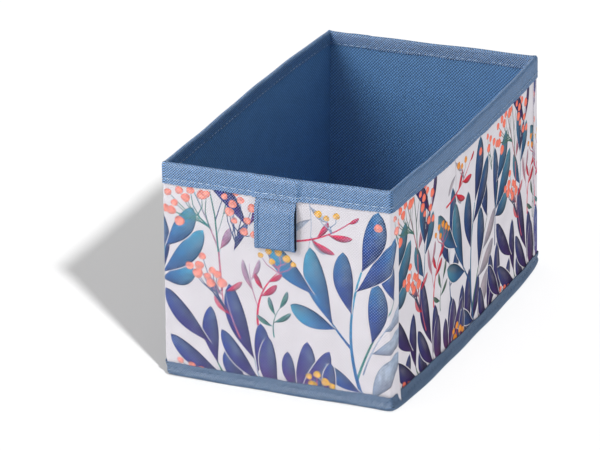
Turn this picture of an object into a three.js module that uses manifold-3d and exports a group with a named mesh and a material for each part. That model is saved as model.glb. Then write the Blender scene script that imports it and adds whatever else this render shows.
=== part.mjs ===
// Fabric storage bin: four stiffened walls in a printed skin with a plain lining, tape bound over the top
// and bottom edges, a pull tab on the front wall and a loose base insert.
// Millimetres. X is across the bin, +Y runs from the front wall to the back, +Z is up.
// The origin is the centre of the footprint, on the surface that the bin stands on.
import * as THREE from "three";
import { mergeVertices } from "three/addons/utils/BufferGeometryUtils.js";
import Module from "manifold-3d";

// Overall size over the bound edges, at the corners
const WIDTH = 140;
const DEPTH = 240;
const HEIGHT = 133;
const LONG_BOW = 2.5; // how far the middle of a long wall stands out from its ends
const SHORT_BOW = 0.5;
const CORNER = 3.1; // plan radius of the printed skin at a corner

// Layers of a wall
const FABRIC = 0.4;
const BOARD = 1.1;
const GAP = 0.12; // air between sewn layers
const SEAM_GAP = 0.15; // air between two panels that meet edge to edge

// Bound edges
const TOP_LEG = 12.8; // height of the top tape outside
const TOP_INNER_LEG = 8;
const BOTTOM_LEG = 8;
const BOTTOM_INNER_LEG = 6.2;
const FOLD = 0.8; // corner radius of a folded tape
const FOLD_STEPS = 3;

// Sewn edge under the base
const BASE_TOP = 7;
const JOG_LOW = 7.4; // the lining steps out into the seam between these two heights
const JOG_HIGH = 8.4;

// Printed skin
const WRAP = 8; // length of a short panel that goes round the corner

// Pull tab
const TAB_WIDTH = 24.4;
const TAB_HANG = 30.6; // from the lower edge of the top tape to the fold
const TAB_X = 0.6;
const TAB_THICK = 1.2;
const TAB_SLOT = 0.4; // air between its two plies
const TAB_DROP = 3.1; // from the lower edge of the top tape to the line it swings about
const ROOT_THICK = 1;
const ROOT_LENGTH = 9.5;
const SWELL_RUN = 4; // length over which the top tape comes back to the wall beside the tab

// Thread
const THREAD = 0.24;
const THREAD_WIDTH = 0.5;
const TOP_STITCH_UP = 3; // from the tape's lower edge
const BOTTOM_STITCH_Z = 4.6;
const INNER_STITCH_UP = 1;

// Loose base insert
const INSERT_WIDTH = 130;
const INSERT_DEPTH = 230;
const INSERT_CORNER = 2;
const INSERT_BOARD = 2;
const INSERT_HEM = 0.6; // how far the covers reach past the board

const wasm = await Module();
wasm.setup();

const halfWidth = WIDTH / 2 - FABRIC - GAP;
const halfDepth = DEPTH / 2 - FABRIC - GAP;
const straightX = halfWidth - CORNER;
const straightY = halfDepth - CORNER;
const boardFace = FABRIC + GAP;
const liningFace = boardFace + BOARD + GAP;
const wallInside = liningFace + FABRIC;
const tapeFace = -GAP - FABRIC; // the outside of either tape, counted inward from the printed skin
const topTapeLow = HEIGHT - TOP_LEG;
const frontFace = -halfDepth - SHORT_BOW;
const swell = ROOT_THICK + GAP;

const LOOKS = {
  print: { color: "#e6e3e8", roughness: 0.85 },
  lining: { color: "#3c6a9b", roughness: 0.85 },
  tape: { color: "#5f86b0", roughness: 0.8 },
  thread: { color: "#b9cde2", roughness: 0.6 },
  darkThread: { color: "#55606e", roughness: 0.6 },
  board: { color: "#b59a76", roughness: 0.9 },
};

// ---- The bin's outline in plan ----

// Sample places along one straight, from -half to half, with extra places where panels or the tab end.
function places(half, steps, extras) {
  const even = Array.from({ length: steps + 1 }, (_, i) => -half + (2 * half * i) / steps);
  const near = (v) => extras.some((e) => Math.abs(e - v) < half / steps / 2 && Math.abs(v) < half);
  return [...even.filter((v) => !near(v)), ...extras].sort((a, b) => a - b);
}

const tabEdges = [-1, 1].flatMap((s) => [0.3, SWELL_RUN].map((d) => TAB_X + s * (TAB_WIDTH / 2 + d)));
const shortEnds = [-1, 1].map((s) => s * (straightX - SEAM_GAP));
const longEnds = [-1, 1].flatMap((s) => [0, SEAM_GAP].map((d) => s * (straightY - WRAP - d)));

// The four sides, anticlockwise seen from above. turn is the direction in which each one faces.
const short = { half: straightX, across: halfDepth, bow: SHORT_BOW, steps: 6, extras: shortEnds };
const long = { half: straightY, across: halfWidth, bow: LONG_BOW, steps: 10, extras: longEnds };
const SIDES = [
  { ...short, name: "front", turn: -90, extras: [...shortEnds, ...tabEdges] },
  { ...long, name: "right", turn: 0 },
  { ...short, name: "back", turn: 90 },
  { ...long, name: "left", turn: 180 },
];
const CORNER_STEPS = 3;

// Stations round the outline: a point on the printed skin's outer face and the way out of the bin there.
const stations = [];
for (const side of SIDES) {
  const out = direction(side.turn);
  const along = direction(side.turn + 90);
  side.first = stations.length;
  for (const place of places(side.half, side.steps, side.extras)) {
    const bow = side.bow * (1 - (place / side.half) ** 2);
    const point = out.clone().multiplyScalar(side.across + bow).addScaledVector(along, place);
    stations.push({ side: side.name, place, point, out });
  }
  side.last = stations.length - 1;
  const centre = out.clone().multiplyScalar(side.across - CORNER).addScaledVector(along, side.half);
  for (let i = 1; i < CORNER_STEPS; i++) {
    const turned = direction(side.turn + (90 * i) / CORNER_STEPS);
    stations.push({ side: "corner", point: centre.clone().addScaledVector(turned, CORNER), out: turned });
  }
}

function direction(degrees) {
  const a = THREE.MathUtils.degToRad(degrees);
  return new THREE.Vector2(Math.cos(a), Math.sin(a));
}

// The station of a side that lies nearest a place along it.
function stationAt(name, place) {
  const side = SIDES.find((s) => s.name === name);
  const range = stations.slice(side.first, side.last + 1);
  const best = range.reduce((a, b) => (Math.abs(b.place - place) < Math.abs(a.place - place) ? b : a));
  return stations.indexOf(best);
}

// ---- Solids ----

// A section swept along the outline. Its vertices are [inset, z, lift]: how far inward from the printed
// skin's face, the height, and the share of the swell over the tab's root that the vertex takes. With no
// ends it goes all the way round.
function sweep(section, from, to) {
  const whole = from === undefined;
  const count = whole ? stations.length : ((to - from + stations.length) % stations.length) + 1;
  const n = section.length;
  const positions = [];
  for (let i = 0; i < count; i++) {
    const station = stations[((from ?? 0) + i) % stations.length];
    for (const [inset, z, lift = 0] of section) {
      const p = station.point.clone().addScaledVector(station.out, lift * swellAt(station) - inset);
      positions.push(p.x, p.y, z);
    }
  }
  const index = [];
  for (let i = 0; i < (whole ? count : count - 1); i++) {
    for (let j = 0; j < n; j++) {
      const [a, b] = [i * n + j, i * n + ((j + 1) % n)];
      const [c, d] = [(a + n) % (count * n), (b + n) % (count * n)];
      index.push(a, c, d, a, d, b);
    }
  }
  if (!whole) {
    const contour = section.map(([inset, z]) => new THREE.Vector2(inset, z));
    const last = (count - 1) * n;
    for (const [a, b, c] of THREE.ShapeUtils.triangulateShape(contour, [])) {
      index.push(a, b, c, last + a, last + c, last + b);
    }
  }
  const geometry = new THREE.BufferGeometry();
  geometry.setAttribute("position", new THREE.Float32BufferAttribute(positions, 3));
  geometry.setIndex(index);
  return geometry;
}

// How far the top tape stands off the wall over the tab's root.
function swellAt({ side, place }) {
  if (side !== "front") return 0;
  const beyond = Math.abs(place - TAB_X) - TAB_WIDTH / 2;
  return swell * (1 - THREE.MathUtils.smoothstep(beyond, 0.3, SWELL_RUN));
}

// Section of a plain layer between two insets and two heights.
function layer(outer, inner, low, high) {
  return [[outer, low], [inner, low], [inner, high], [outer, high]];
}

// Section of a tape folded over an edge: up both sides of what it binds, with a rounded fold at the
// height edge. up is 1 where the legs point up. The outer leg takes the swell from its end to liftTo.
function foldedTape({ inner, outerLeg, innerLeg, edge, up, liftTo = 0 }) {
  const corner = (centre, from, to) =>
    Array.from({ length: FOLD_STEPS + 1 }, (_, i) => {
      const a = THREE.MathUtils.degToRad(from + ((to - from) * i) / FOLD_STEPS);
      return [centre + FOLD * Math.cos(a), FOLD * (1 - Math.sin(a))];
    });
  const lift = liftTo ? 1 : 0;
  const section = [
    [tapeFace, outerLeg, lift],
    ...(lift ? [[tapeFace, liftTo, 1]] : []),
    ...corner(tapeFace + FOLD, 180, 90),
    ...corner(inner - FOLD, 90, 0),
    [inner, innerLeg],
    [inner - FABRIC, innerLeg],
    [inner - FABRIC, FABRIC],
    [tapeFace + FABRIC, FABRIC],
    ...(lift ? [[tapeFace + FABRIC, liftTo, 1]] : []),
    [tapeFace + FABRIC, outerLeg, lift],
  ];
  return section.map(([inset, depth, lifted]) => [inset, edge + up * depth, lifted]);
}

// A strip of thread lying on a face. out is 1 where the face looks out of the bin.
function threadRun(face, out, z, lift = 0) {
  const near = face - out * GAP;
  const strip = layer(near, near - out * THREAD, z - THREAD_WIDTH / 2, z + THREAD_WIDTH / 2);
  return strip.map((p) => [...p, lift]);
}

function extrude(shape, depth, curveSegments = 1) {
  return new THREE.ExtrudeGeometry(shape, { depth, bevelEnabled: false, curveSegments });
}

// The area inside the outline at an inset, as an upright block.
function block(inset, low, high) {
  const outline = stations.map(({ point, out }) => point.clone().addScaledVector(out, -inset));
  return extrude(new THREE.Shape(outline), high - low).translate(0, 0, low);
}

// A flat sheet with rounded corners, lying between two heights.
function sheet(width, depth, radius, low, high) {
  const [x, y] = [width / 2 - radius, depth / 2 - radius];
  const shape = new THREE.Shape();
  shape.absarc(x, y, radius, 0, Math.PI / 2);
  shape.absarc(-x, y, radius, Math.PI / 2, Math.PI);
  shape.absarc(-x, -y, radius, Math.PI, Math.PI * 1.5);
  shape.absarc(x, -y, radius, Math.PI * 1.5, Math.PI * 2);
  return extrude(shape, high - low, 4).translate(0, 0, low);
}

// A section in the Y-Z plane, run along X and centred on x.
function runAlongX(shape, length, x) {
  const toWorld = new THREE.Matrix4().makeBasis(
    new THREE.Vector3(0, 1, 0),
    new THREE.Vector3(0, 0, 1),
    new THREE.Vector3(1, 0, 0),
  );
  return extrude(shape, length, 8).applyMatrix4(toWorld).translate(x - length / 2, 0, 0);
}

function positionsOnly(geometry) {
  const bare = geometry.clone();
  bare.deleteAttribute("normal");
  bare.deleteAttribute("uv");
  return mergeVertices(bare, 1e-4);
}

// Turns every face over where the solid is inside out.
function facingOut(geometry) {
  const merged = positionsOnly(geometry);
  const p = merged.attributes.position;
  const index = merged.index.array;
  const [a, b, c] = [new THREE.Vector3(), new THREE.Vector3(), new THREE.Vector3()];
  let volume = 0;
  for (let i = 0; i < index.length; i += 3) {
    a.fromBufferAttribute(p, index[i]);
    b.fromBufferAttribute(p, index[i + 1]);
    c.fromBufferAttribute(p, index[i + 2]);
    volume += a.dot(b.cross(c));
  }
  if (volume < 0) {
    for (let i = 0; i < index.length; i += 3) [index[i + 1], index[i + 2]] = [index[i + 2], index[i + 1]];
  }
  return merged;
}

function solid(geometry) {
  const merged = facingOut(geometry);
  const vertProperties = new Float32Array(merged.attributes.position.array);
  const triVerts = new Uint32Array(merged.index.array);
  return new wasm.Manifold(new wasm.Mesh({ numProp: 3, vertProperties, triVerts }));
}

function geometryOf(manifold) {
  const mesh = manifold.getMesh();
  const geometry = new THREE.BufferGeometry();
  geometry.setAttribute("position", new THREE.BufferAttribute(mesh.vertProperties, 3));
  geometry.setIndex(new THREE.BufferAttribute(mesh.triVerts, 1));
  return geometry;
}

const bin = new THREE.Group();

function add(name, geometry, look, group = bin) {
  const shown = facingOut(geometry).toNonIndexed();
  shown.computeVertexNormals();
  const mesh = new THREE.Mesh(shown, new THREE.MeshStandardMaterial({ ...look, metalness: 0 }));
  mesh.name = name;
  group.add(mesh);
  return mesh;
}

// ---- Walls ----

const clothLow = FABRIC + 0.2; // sewn layers stop just inside a fold
const clothHigh = HEIGHT - clothLow;

// A short side's printed panel goes round both of its corners, and a long side's panel fills what is left.
function printedPanels() {
  const section = layer(0, FABRIC, clothLow, clothHigh);
  const end = straightY - WRAP;
  add("outer_front", sweep(section, stationAt("left", end), stationAt("right", -end)), LOOKS.print);
  add("outer_back", sweep(section, stationAt("right", end), stationAt("left", -end)), LOOKS.print);
  for (const name of ["right", "left"]) {
    const inner = end - SEAM_GAP;
    add(`outer_${name}`, sweep(section, stationAt(name, -inner), stationAt(name, inner)), LOOKS.print);
  }
}

// A board fills the straight part of each wall, above the seam under the base.
function boards() {
  const section = layer(boardFace, boardFace + BOARD, JOG_HIGH + 0.5, clothHigh - 0.3);
  for (const { name, half } of SIDES) {
    add(`board_${name}`, sweep(section, stationAt(name, -half), stationAt(name, half)), LOOKS.board);
  }
}

// The lining steps out under the board, to be sewn to the printed skin. Long panels take the corners.
function linings() {
  const section = [
    [boardFace, clothLow],
    [boardFace + FABRIC, clothLow],
    [boardFace + FABRIC, JOG_LOW],
    [wallInside, JOG_LOW],
    [wallInside, clothHigh],
    [liningFace, clothHigh],
    [liningFace, JOG_HIGH],
    [boardFace, JOG_HIGH],
  ];
  const end = straightX - SEAM_GAP;
  for (const name of ["front", "back"]) {
    add(`lining_${name}`, sweep(section, stationAt(name, -end), stationAt(name, end)), LOOKS.lining);
  }
  for (const [name, before, after] of [["right", "front", "back"], ["left", "back", "front"]]) {
    const [from, to] = [stationAt(before, straightX), stationAt(after, -straightX)];
    add(`lining_${name}`, sweep(section, from, to), LOOKS.lining);
  }
}

// ---- Base, with its edge turned down into the bottom seam ----

const hemFace = boardFace + FABRIC + GAP;

function basePanel() {
  const outside = solid(block(hemFace, clothLow, BASE_TOP));
  const recess = solid(block(hemFace + FABRIC, 0, BASE_TOP - FABRIC));
  add("base_panel", geometryOf(outside.subtract(recess)), LOOKS.lining);
}

// ---- Bound edges and thread ----

const topInner = wallInside + GAP + FABRIC;
const bottomInner = hemFace + FABRIC + GAP + FABRIC;

function bindings() {
  const top = {
    inner: topInner,
    outerLeg: TOP_LEG,
    innerLeg: TOP_INNER_LEG,
    edge: HEIGHT,
    up: -1,
    liftTo: TOP_LEG - ROOT_LENGTH - 0.3,
  };
  const bottom = { inner: bottomInner, outerLeg: BOTTOM_LEG, innerLeg: BOTTOM_INNER_LEG, edge: 0, up: 1 };
  add("top_binding", sweep(foldedTape(top)), LOOKS.tape);
  add("bottom_binding", sweep(foldedTape(bottom)), LOOKS.tape);
}

function threads() {
  const innerLow = HEIGHT - TOP_INNER_LEG;
  const runs = {
    thread_top_outer: threadRun(tapeFace, 1, topTapeLow + TOP_STITCH_UP, 1),
    thread_top_inner: threadRun(topInner, -1, innerLow + INNER_STITCH_UP),
    thread_bottom_outer: threadRun(tapeFace, 1, BOTTOM_STITCH_Z),
    thread_bottom_inner: threadRun(bottomInner, -1, BOTTOM_STITCH_Z),
  };
  for (const [name, section] of Object.entries(runs)) add(name, sweep(section), LOOKS.thread);
  const low = BOTTOM_LEG + 0.5;
  const high = topTapeLow - 0.5;
  for (const [end, y] of [["front", -1], ["back", 1]]) {
    for (const [side, x] of [["left", -1], ["right", 1]]) {
      const run = new THREE.BoxGeometry(THREAD_WIDTH, THREAD, high - low);
      const mesh = add(`thread_corner_${end}_${side}`, run, LOOKS.darkThread);
      mesh.position.set(x * (straightX - THREAD_WIDTH), y * (halfDepth + GAP + THREAD), (low + high) / 2);
    }
  }
}

// ---- Pull tab ----

// The two plies are pressed together where the top tape holds them, and hang as a flat loop below it.
function pullTab() {
  const wallGap = frontFace - GAP;
  const root = new THREE.Shape();
  const rootLow = topTapeLow + 0.3;
  root.moveTo(wallGap, rootLow);
  root.lineTo(wallGap, rootLow + ROOT_LENGTH - 0.3);
  root.lineTo(wallGap - ROOT_THICK, rootLow + ROOT_LENGTH - 0.3);
  root.lineTo(wallGap - ROOT_THICK, rootLow);
  add("tab_root", runAlongX(root, TAB_WIDTH, TAB_X), LOOKS.tape);

  const middle = wallGap - TAB_THICK / 2;
  const swing = topTapeLow - TAB_DROP;
  const foldAt = topTapeLow - TAB_HANG + TAB_THICK / 2;
  const loop = new THREE.Shape();
  loop.absarc(middle, swing, TAB_THICK / 2, 0, Math.PI);
  loop.absarc(middle, foldAt, TAB_THICK / 2, Math.PI, Math.PI * 2);
  const slot = new THREE.Path();
  slot.absarc(middle, swing - TAB_SLOT, TAB_SLOT / 2, 0, Math.PI);
  slot.absarc(middle, foldAt, TAB_SLOT / 2, Math.PI, Math.PI * 2);
  loop.holes.push(slot);
  add("pull_tab", runAlongX(loop, TAB_WIDTH, TAB_X), LOOKS.tape);
}

// ---- Loose base insert: a board between two covers ----

function baseInsert() {
  const insert = new THREE.Group();
  insert.position.z = BASE_TOP + SEAM_GAP;
  const boardLow = FABRIC + GAP;
  const coverLow = boardLow + INSERT_BOARD + GAP;
  const [width, depth] = [INSERT_WIDTH - 2 * INSERT_HEM, INSERT_DEPTH - 2 * INSERT_HEM];
  const full = [INSERT_WIDTH, INSERT_DEPTH, INSERT_CORNER];
  add("insert_cover_bottom", sheet(...full, 0, FABRIC), LOOKS.lining, insert);
  const board = sheet(width, depth, INSERT_CORNER, boardLow, boardLow + INSERT_BOARD);
  add("insert_board", board, LOOKS.board, insert);
  add("insert_cover_top", sheet(...full, coverLow, coverLow + FABRIC), LOOKS.lining, insert);
  bin.add(insert);
}

printedPanels();
boards();
linings();
basePanel();
bindings();
threads();
pullTab();
baseInsert();

export default bin;
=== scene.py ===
"""Fabric storage bin: the soft surfaces, print, stitching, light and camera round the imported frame."""
import math

import bmesh
import bpy
import numpy as np
from mathutils import Matrix, Vector
from mathutils.geometry import delaunay_2d_cdt


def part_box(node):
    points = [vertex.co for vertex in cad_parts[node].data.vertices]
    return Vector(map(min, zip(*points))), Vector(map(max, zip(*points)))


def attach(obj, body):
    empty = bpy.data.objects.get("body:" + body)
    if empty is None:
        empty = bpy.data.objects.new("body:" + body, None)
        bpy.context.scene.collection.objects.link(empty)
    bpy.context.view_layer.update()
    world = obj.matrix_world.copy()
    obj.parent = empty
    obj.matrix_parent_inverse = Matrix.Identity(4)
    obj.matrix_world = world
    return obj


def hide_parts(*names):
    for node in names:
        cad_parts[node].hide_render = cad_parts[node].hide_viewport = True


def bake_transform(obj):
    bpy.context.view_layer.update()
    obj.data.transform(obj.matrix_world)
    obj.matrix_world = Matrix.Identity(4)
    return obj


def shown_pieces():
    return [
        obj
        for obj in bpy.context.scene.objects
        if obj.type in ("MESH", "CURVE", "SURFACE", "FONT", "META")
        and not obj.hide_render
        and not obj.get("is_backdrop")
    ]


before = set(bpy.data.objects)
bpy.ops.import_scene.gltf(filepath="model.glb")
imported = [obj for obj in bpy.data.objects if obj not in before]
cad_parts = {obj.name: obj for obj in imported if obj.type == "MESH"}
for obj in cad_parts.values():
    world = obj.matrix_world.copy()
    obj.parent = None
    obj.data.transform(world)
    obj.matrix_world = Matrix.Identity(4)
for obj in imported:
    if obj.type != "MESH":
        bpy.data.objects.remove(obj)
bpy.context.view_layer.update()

MM = 0.001
PER_METRE = 1000  # flat shapes are cut up in millimetres

# ---- Sizes from the frame, in metres ----

CORNER = 3.1 * MM  # plan radius of the CAD skin at a corner
ROUND = 1.3 * MM  # plan radius of the soft skin at a corner
CLOTH = 0.4 * MM  # thickness of every cloth
GAP = 0.12 * MM  # between two layers
BOARD = 1.1 * MM

STRAIGHT_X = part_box("board_front")[1].x
STRAIGHT_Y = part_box("board_right")[1].y
HALF_X = STRAIGHT_X + CORNER
HALF_Y = STRAIGHT_Y + CORNER
LONG_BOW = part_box("outer_right")[1].x - HALF_X
SHORT_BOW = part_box("outer_back")[1].y - HALF_Y
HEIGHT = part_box("top_binding")[1].z
TOP_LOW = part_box("top_binding")[0].z
TOP_LEG = HEIGHT - TOP_LOW
TOP_INNER_LEG = 8 * MM
BOTTOM_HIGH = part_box("bottom_binding")[1].z
BOTTOM_INNER_LEG = 6.2 * MM
CLOTH_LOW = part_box("outer_front")[0].z
CLOTH_TOP = HEIGHT - 1.8 * MM  # where skin and lining end, under the top tape
BASE_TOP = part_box("base_panel")[1].z
JOG_LOW, JOG_HIGH = 7.4 * MM, 8.4 * MM  # the lining steps outward here, below its board

# Insets of the layers from the printed face, inward.
BOARD_FACE = CLOTH + GAP
LINING_FACE = BOARD_FACE + BOARD + GAP
INSIDE = LINING_FACE + CLOTH
TAPE_FACE = -GAP - CLOTH
TOP_INNER = INSIDE + GAP + CLOTH
HEM_FACE = BOARD_FACE + CLOTH + GAP
BOTTOM_INNER = HEM_FACE + CLOTH + GAP + CLOTH

tab_low, tab_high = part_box("pull_tab")
TAB_X = (tab_low.x + tab_high.x) / 2
TAB_WIDTH = tab_high.x - tab_low.x

# ---- The outline in plan, and the soft shape ----

SIDES = ("front", "right", "back", "left")
TURN = np.radians([-90, 0, 90, 180])
LENGTHS = 2 * np.array([HALF_X - ROUND, HALF_Y - ROUND] * 2)
BOWS = np.array([SHORT_BOW, LONG_BOW] * 2)
ARC = math.pi / 2 * ROUND
STARTS = np.concatenate([[0], np.cumsum(np.column_stack([LENGTHS, [ARC] * 4]).ravel())]) - LENGTHS[0] / 2
AROUND = STARTS[-1] - STARTS[0]
CORNERS = [(STARTS[i] + STARTS[i + 1]) / 2 for i in (1, 3, 5, 7)]


def start_of(side):
    """Where along the outline a side's straight begins. It runs anticlockwise from the front's middle."""
    return STARTS[2 * SIDES.index(side)]


def end_of(side):
    return STARTS[2 * SIDES.index(side) + 1]


def corner_seams(side):
    """The lines of the edge stitching near the two ends of a short wall."""
    inward = CORNER - ROUND + 0.6 * MM
    return start_of(side) + inward, end_of(side) - inward


def ramp(value, run=1.0):
    """0 below 0, 1 above run, and straight between."""
    return np.clip(value / run, 0, 1)


def ease(value):
    """A ramp with soft ends."""
    t = ramp(value)
    return t * t * (3 - 2 * t)


def hill(distance, width):
    """1 at no distance, falling smoothly to 0 over about two widths."""
    return np.exp(-((distance / width) ** 2))


def cuff(z, low, high, run):
    """1 between two heights, easing to 0 over a run at either end."""
    return ramp(z - low, run) * ramp(high - z, run)


def even(start, end, step):
    return np.linspace(start, end, max(2, int(round((end - start) / step)) + 1))


def plan(s, inset):
    """Points at s along the outline, inset from the printed face, with their way out, side and place."""
    s = (np.asarray(s, float) - STARTS[0]) % AROUND + STARTS[0]
    inset = np.broadcast_to(np.asarray(inset, float), s.shape)
    piece = np.clip(np.searchsorted(STARTS, s, side="right") - 1, 0, 7)
    share = (s - STARTS[piece]) / (STARTS[piece + 1] - STARTS[piece])
    side = piece // 2
    turned = TURN[side] + np.where(piece % 2 == 1, share * math.pi / 2, 0)
    radius = np.maximum(ROUND - inset, 0.05 * MM)
    short = HALF_X - inset - radius
    long = HALF_Y - inset - radius
    half = np.where(side % 2 == 0, short, long)
    across = np.where(side % 2 == 0, long, short)
    place = np.where(piece % 2 == 1, 1, 2 * share - 1)
    bow = BOWS[side] * (1 - place**2)
    out = np.stack([np.cos(turned), np.sin(turned)], -1)
    ahead = np.stack([np.cos(TURN[side]), np.sin(TURN[side])], -1)
    along = np.stack([-ahead[:, 1], ahead[:, 0]], -1)
    centre = ahead * (across + bow)[:, None] + along * (half * place)[:, None]
    return centre + out * radius[:, None], out, side, place


# How the soft bin departs from the true box.
# One row for each corner: front left, front right, back right, back left.
LEAN = np.array([[-1.3, -0.6, -1.6], [0.3, 0.2, 0.2], [-1.2, 0.0, 1.7], [1.1, 0.4, 0.2]]) * MM  # at the rim
SPREAD = np.array([-2.0, 0.0, 0.6, 0.0]) * MM  # sideways, low on the wall
FOOT = np.array([[0.9, -1.6], [2.2, -2.0], [0.4, 0.0], [0.0, 0.0]]) * MM  # at the bound foot, in plan
# One value for each side, added outward.
FOOT_BOW = np.array([0.0, 2.2, 0.5, 0.5]) * MM  # to the foot, between its corners
RIM_BOW = np.array([0.0, 0.8, 0.0, -0.2]) * MM  # to the rim, at its middle
RIM_SKEW = np.array([0.0, 0.0, 0.0, -2.6]) * MM  # to the rim, more toward the later corner
BELLY = np.array([0.3, 0.5, 0.2, 0.3]) * MM  # at mid height
SPLAY = BOTTOM_HIGH + 0.8 * MM  # the height below which the foot splays
WAVE = 0.22 * MM  # unevenness of a wall


def ripple(s, z, size, seed):
    """A slow, smooth unevenness, about 1 either way."""
    a = np.sin(s / size * 2.1 + seed * 1.7 + 0.8 * np.sin(z / size * 1.3 + seed))
    b = np.sin(s / size * 0.9 - z / size * 1.7 + seed * 2.9)
    return 0.6 * a + 0.4 * b


def blend_corners(values, side, place):
    """Values given at the four corners, blended along each side."""
    share = ((place + 1) / 2).reshape(-1, *[1] * (values.ndim - 1))
    return values[side] * (1 - share) + values[(side + 1) % 4] * share


def soften(s, z, side, place, out):
    """How far a point of a wall stands from its place on the true box."""
    up = ramp(z, HEIGHT)
    low = ramp(SPLAY - z, SPLAY)
    flat = 1 - place**2
    bulge = np.sin(math.pi * up)
    push = (RIM_BOW[side] + RIM_SKEW[side] * place) * flat * up**2 + BELLY[side] * flat * bulge
    push += WAVE * ripple(s, z, 21 * MM, 1) * np.sqrt(ramp(flat) * ramp(bulge))
    push += FOOT_BOW[side] * (1 - place**14) * low
    moved = blend_corners(LEAN, side, place) * (up**1.2)[:, None]
    moved[:, 0] += blend_corners(SPREAD, side, place) * (1 - up) * ramp(z, 12 * MM)
    moved[:, :2] += blend_corners(FOOT, side, place) * low[:, None] + out * push[:, None]
    return moved


def wall(s, inset, z):
    """Points of the soft bin at s along the outline, at an inset and a height."""
    s, inset, z = (np.asarray(v, float).ravel() for v in np.broadcast_arrays(s, inset, z))
    xy, out, side, place = plan(s, inset)
    return np.column_stack([xy, z]) + soften(s, z, side, place, out)


# ---- Meshes ----

def mesh_object(name, points, faces, material, uv, colour=None):
    """A smooth mesh object. uv and colour hold one entry for each corner of each face, in order."""
    mesh = bpy.data.meshes.new(name)
    mesh.from_pydata([tuple(p) for p in points], [], [tuple(int(i) for i in f) for f in faces])
    layer = mesh.uv_layers.new(name="cloth")
    layer.data.foreach_set("uv", np.asarray(uv, np.float32).ravel())
    if colour is not None:
        ink = mesh.color_attributes.new("ink", "FLOAT_COLOR", "CORNER")
        ink.data.foreach_set("color", np.asarray(colour, np.float32).ravel())
    mesh.polygons.foreach_set("use_smooth", [True] * len(mesh.polygons))
    mesh.materials.append(material)
    mesh.validate()
    mesh.update()
    made = bpy.data.objects.new(name, mesh)
    bpy.context.scene.collection.objects.link(made)
    return made


def face_out(obj):
    """Turns a closed mesh's faces outward."""
    bm = bmesh.new()
    bm.from_mesh(obj.data)
    bmesh.ops.recalc_face_normals(bm, faces=bm.faces)
    bm.to_mesh(obj.data)
    bm.free()
    return obj


def sharpen(obj, degrees=40):
    """Keeps edges sharper than an angle crisp."""
    obj.data.set_sharp_from_angle(angle=math.radians(degrees))
    return obj


def sweep(name, stations, section, material, closed=True):
    """A section run along the wall. section(s) gives its closed outline as (inset, z) rows at a station."""
    outlines = [np.asarray(section(s)) for s in stations]
    n = len(outlines[0])
    flat = np.concatenate(outlines)
    points = wall(np.repeat(stations, n), flat[:, 0], flat[:, 1])
    steps = np.linalg.norm(np.diff(outlines[0], axis=0, append=outlines[0][:1]), axis=1)
    arc = np.concatenate([[0], np.cumsum(steps)])
    ends = np.append(stations[1:], stations[0] + AROUND)
    faces, uv = [], []
    for i in range(len(stations) if closed else len(stations) - 1):
        a, b = i * n, (i + 1) % len(stations) * n
        for j in range(n):
            k = (j + 1) % n
            faces.append((a + j, b + j, b + k, a + k))
            uv += [(stations[i], arc[j]), (ends[i], arc[j]), (ends[i], arc[j + 1]), (stations[i], arc[j + 1])]
    if not closed:
        last = (len(stations) - 1) * n
        faces += [tuple(range(n)), tuple(range(last + n - 1, last - 1, -1))]
        uv += [(stations[0] + p[0], p[1]) for p in outlines[0]]
        uv += [(stations[-1] + p[0], p[1]) for p in outlines[-1][::-1]]
    return sharpen(face_out(mesh_object(name, points, faces, material, uv)))


def around(step, corner_steps):
    """Stations all the way round, closer together at the corners."""
    parts = []
    for i in range(8):
        n = corner_steps if i % 2 else max(2, int(round((STARTS[i + 1] - STARTS[i]) / step)))
        parts.append(np.linspace(STARTS[i], STARTS[i + 1], n + 1)[:-1])
    return np.concatenate(parts)


def two_sided(triangles, n):
    """Faces for a sheet and for its other side, n points further on, and the edges round it."""
    seen = {}
    for face in triangles:
        for a, b in zip(face, (*face[1:], face[0])):
            seen.setdefault((min(a, b), max(a, b)), []).append((a, b))
    rim = [pairs[0] for pairs in seen.values() if len(pairs) == 1]
    return [tuple(f) for f in triangles] + [tuple(f[::-1] + n) for f in triangles], rim


# ---- Materials ----

def new_material(name):
    """A material, with its node tree and its shader."""
    material = bpy.data.materials.new(name)
    material.use_nodes = True
    return material, material.node_tree, material.node_tree.nodes["Principled BSDF"]


def add_node(tree, kind, inputs=None, **settings):
    """A node with its settings and its inputs, each a plain value or a socket to link."""
    made = tree.nodes.new(kind)
    for key, value in settings.items():
        setattr(made, key, value)
    for key, value in (inputs or {}).items():
        if isinstance(value, bpy.types.NodeSocket):
            tree.links.new(value, made.inputs[key])
        else:
            made.inputs[key].default_value = value
    return made


def maths(tree, operation, a, b=0.0):
    return add_node(tree, "ShaderNodeMath", {0: a, 1: b}, operation=operation).outputs[0]


def times(tree, a, b):
    return maths(tree, "MULTIPLY", a, b)


def noise(tree, where, size, detail=2.0):
    """A noise with features about size metres across."""
    inputs = {"Vector": where, "Scale": 1 / size, "Detail": detail}
    return add_node(tree, "ShaderNodeTexNoise", inputs).outputs[0]


def lattice(tree, where, pitch, bias=0.66):
    """A grid of slanting ribs, as pressed into bonded cloth, from -1 to 1. bias is one way's share of it."""
    split = add_node(tree, "ShaderNodeSeparateXYZ", {0: where})
    turn = 2 * math.pi / pitch / math.sqrt(2)
    ribs = []
    for slant, share in (("SUBTRACT", bias), ("ADD", 1 - bias)):
        across = maths(tree, slant, split.outputs[0], split.outputs[1])
        ribs.append(times(tree, maths(tree, "COSINE", times(tree, across, turn)), share))
    return maths(tree, "ADD", *ribs)


def mix(tree, kind, factor, a, b):
    """A blend of two colours, each a plain value or a socket."""
    made = add_node(tree, "ShaderNodeMix", {0: factor}, data_type="RGBA", blend_type=kind)
    for socket, value in ((made.inputs[6], a), (made.inputs[7], b)):
        if isinstance(value, bpy.types.NodeSocket):
            tree.links.new(value, socket)
        else:
            socket.default_value = (*value, 1)
    return made.outputs[2]


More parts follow.
